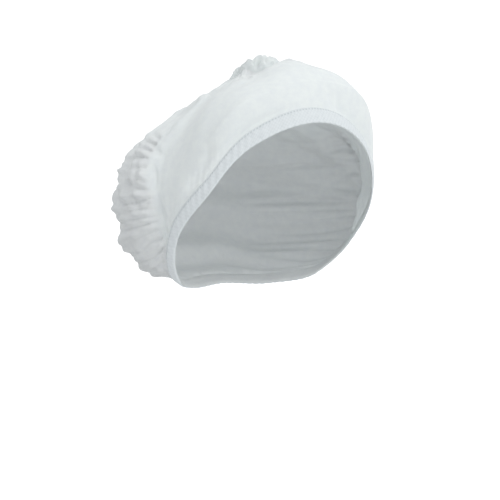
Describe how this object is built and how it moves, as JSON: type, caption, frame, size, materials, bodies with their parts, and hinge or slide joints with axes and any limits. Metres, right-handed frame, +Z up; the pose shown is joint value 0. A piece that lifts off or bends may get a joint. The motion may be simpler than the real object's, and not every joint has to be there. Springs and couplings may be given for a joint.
{
  "type": "disposable hairnet",
  "caption": "Disposable non-woven hairnet in its worn form: a puffed, gathered crown, a flat elastic headband and a crumpled tuft at the top.",
  "frame": {"origin": "middle of the head opening, where the wearer's head goes in", "axes": "+Z up as the hairnet is worn on a head held a little back, the forehead towards -Y, the wearer's left towards +X"},
  "size_m": [0.213, 0.1862, 0.1785],
  "materials": {
    "crown_cloth": "matt spunbond non-woven",
    "headband_elastic": "matt, with a lattice of weld points",
    "tuft_cloth": "matt spunbond non-woven, crumpled"
  },
  "bodies": {
    "root": {"crown": "crown_cloth", "headband": "headband_elastic", "tuft": "tuft_cloth"}
  },
  "joints": []
}
